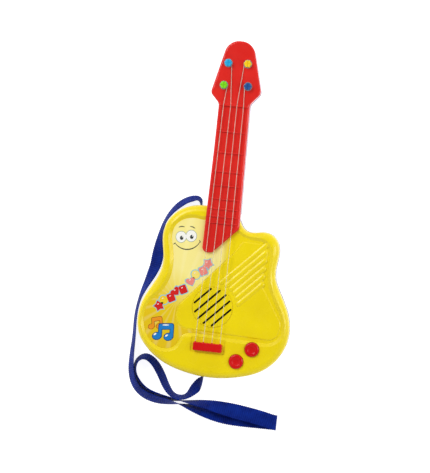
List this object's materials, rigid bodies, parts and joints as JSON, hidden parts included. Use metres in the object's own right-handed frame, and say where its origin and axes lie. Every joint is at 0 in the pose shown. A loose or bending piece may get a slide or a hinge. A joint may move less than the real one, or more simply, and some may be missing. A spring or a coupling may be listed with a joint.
{
  "type": "toy electric guitar",
  "caption": "Toy electric guitar with hollow moulded body, sound buttons, speaker slots, tuning pegs, strings and a webbing strap.",
  "frame": {"origin": "under the middle of the guitar's box, on the plane its back lies on, strap left out", "axes": "+Y up the neck to the headstock, +Z out of the string side, +X to the right as the strings are looked at"},
  "size_m": [0.2083, 0.5, 0.0455],
  "materials": {
    "yellow_abs": "gloss moulded ABS",
    "blue_abs": "gloss moulded ABS",
    "red_abs": "gloss moulded ABS",
    "printed_foil": "gloss printed foil",
    "string_nylon": "clear drawn nylon",
    "peg_light_blue": "gloss",
    "peg_yellow": "gloss",
    "peg_green": "gloss",
    "peg_navy": "gloss",
    "clip_steel": "plain",
    "silver_collar": "vacuum-metallised plastic",
    "grille_cloth": "matt woven cloth",
    "speaker_steel": "zinc plated pressed steel",
    "speaker_paper": "matt paper pulp",
    "ferrite": "ground ferrite",
    "screw_zinc": "zinc plated",
    "board_laminate": "solder mask",
    "chip_epoxy": "epoxy",
    "capacitor_sleeve": "shrink sleeve",
    "silicone": "satin",
    "wire_pvc": "PVC",
    "cell_jacket": "printed jacket",
    "contact_nickel": "nickel plated",
    "switch_black": "moulded",
    "strap_webbing": "woven polypropylene"
  },
  "bodies": {
    "guitar": {"battery_cells": "cell_jacket", "battery_contacts": "contact_nickel", "battery_springs": "contact_nickel", "battery_wires": "wire_pvc", "board_screws": "screw_zinc", "body_screws": "screw_zinc", "bridge_cover": "red_abs", "capacitors": "capacitor_sleeve", "circuit_board": "board_laminate", "front_label": "printed_foil", "front_shell": "yellow_abs", "grille_cloth": "grille_cloth", "neck_front": "red_abs", "neck_rear": "blue_abs", "neck_screws": "screw_zinc", "peg_collars": "silver_collar", "rear_shell": "blue_abs", "rubber_dome_lower": "silicone", "rubber_dome_upper": "silicone", "sound_chip": "chip_epoxy", "speaker_clamps": "speaker_steel", "speaker_cone": "speaker_paper", "speaker_frame": "speaker_steel", "speaker_magnet": "ferrite", "speaker_screws": "screw_zinc", "speaker_wires": "wire_pvc", "strap": "strap_webbing", "strap_pins": "screw_zinc", "string_1": "string_nylon", "string_2": "string_nylon", "string_3": "string_nylon", "string_4": "string_nylon", "switch_body": "switch_black"},
    "upper_button": {"button_upper": "red_abs"},
    "lower_button": {"button_lower": "red_abs"},
    "battery_cover": {"battery_door": "blue_abs", "battery_door_screw": "screw_zinc"},
    "power_slider": {"switch_slider": "switch_black"},
    "tuning_peg_light_blue": {"peg_light_blue": "peg_light_blue", "peg_clip_light_blue": "clip_steel"},
    "tuning_peg_yellow": {"peg_yellow": "peg_yellow", "peg_clip_yellow": "clip_steel"},
    "tuning_peg_green": {"peg_green": "peg_green", "peg_clip_green": "clip_steel"},
    "tuning_peg_navy": {"peg_navy": "peg_navy", "peg_clip_navy": "clip_steel"}
  },
  "joints": [
    {"name": "upper_button_press", "type": "slide", "parent": "guitar", "child": "upper_button", "axis": [0, 0, -1], "range_m": [0, 0.0018], "stiffness_N_per_m": 300, "springref_m": -0.001, "deforming": ["rubber_dome_upper"]},
    {"name": "lower_button_press", "type": "slide", "parent": "guitar", "child": "lower_button", "axis": [0, 0, -1], "range_m": [0, 0.0018], "stiffness_N_per_m": 300, "springref_m": -0.001, "deforming": ["rubber_dome_lower"]},
    {"name": "peg_light_blue_turn", "type": "hinge", "parent": "guitar", "child": "tuning_peg_light_blue", "pos_m": [-0.01586, 0.18921, 0.04], "axis": [0, 0, 1], "continuous": true},
    {"name": "peg_yellow_turn", "type": "hinge", "parent": "guitar", "child": "tuning_peg_yellow", "pos_m": [0.00934, 0.19021, 0.04], "axis": [0, 0, 1], "continuous": true},
    {"name": "peg_green_turn", "type": "hinge", "parent": "guitar", "child": "tuning_peg_green", "pos_m": [-0.01856, 0.16021, 0.04], "axis": [0, 0, 1], "continuous": true},
    {"name": "peg_navy_turn", "type": "hinge", "parent": "guitar", "child": "tuning_peg_navy", "pos_m": [0.01254, 0.16131, 0.04], "axis": [0, 0, 1], "continuous": true},
    {"name": "battery_cover_lift", "type": "slide", "parent": "guitar", "child": "battery_cover", "axis": [0, 0, -1], "range_m": [0, 0.02]},
    {"name": "power_slide", "type": "slide", "parent": "guitar", "child": "power_slider", "axis": [1, 0, 0], "range_m": [0, 0.005]}
  ]
}
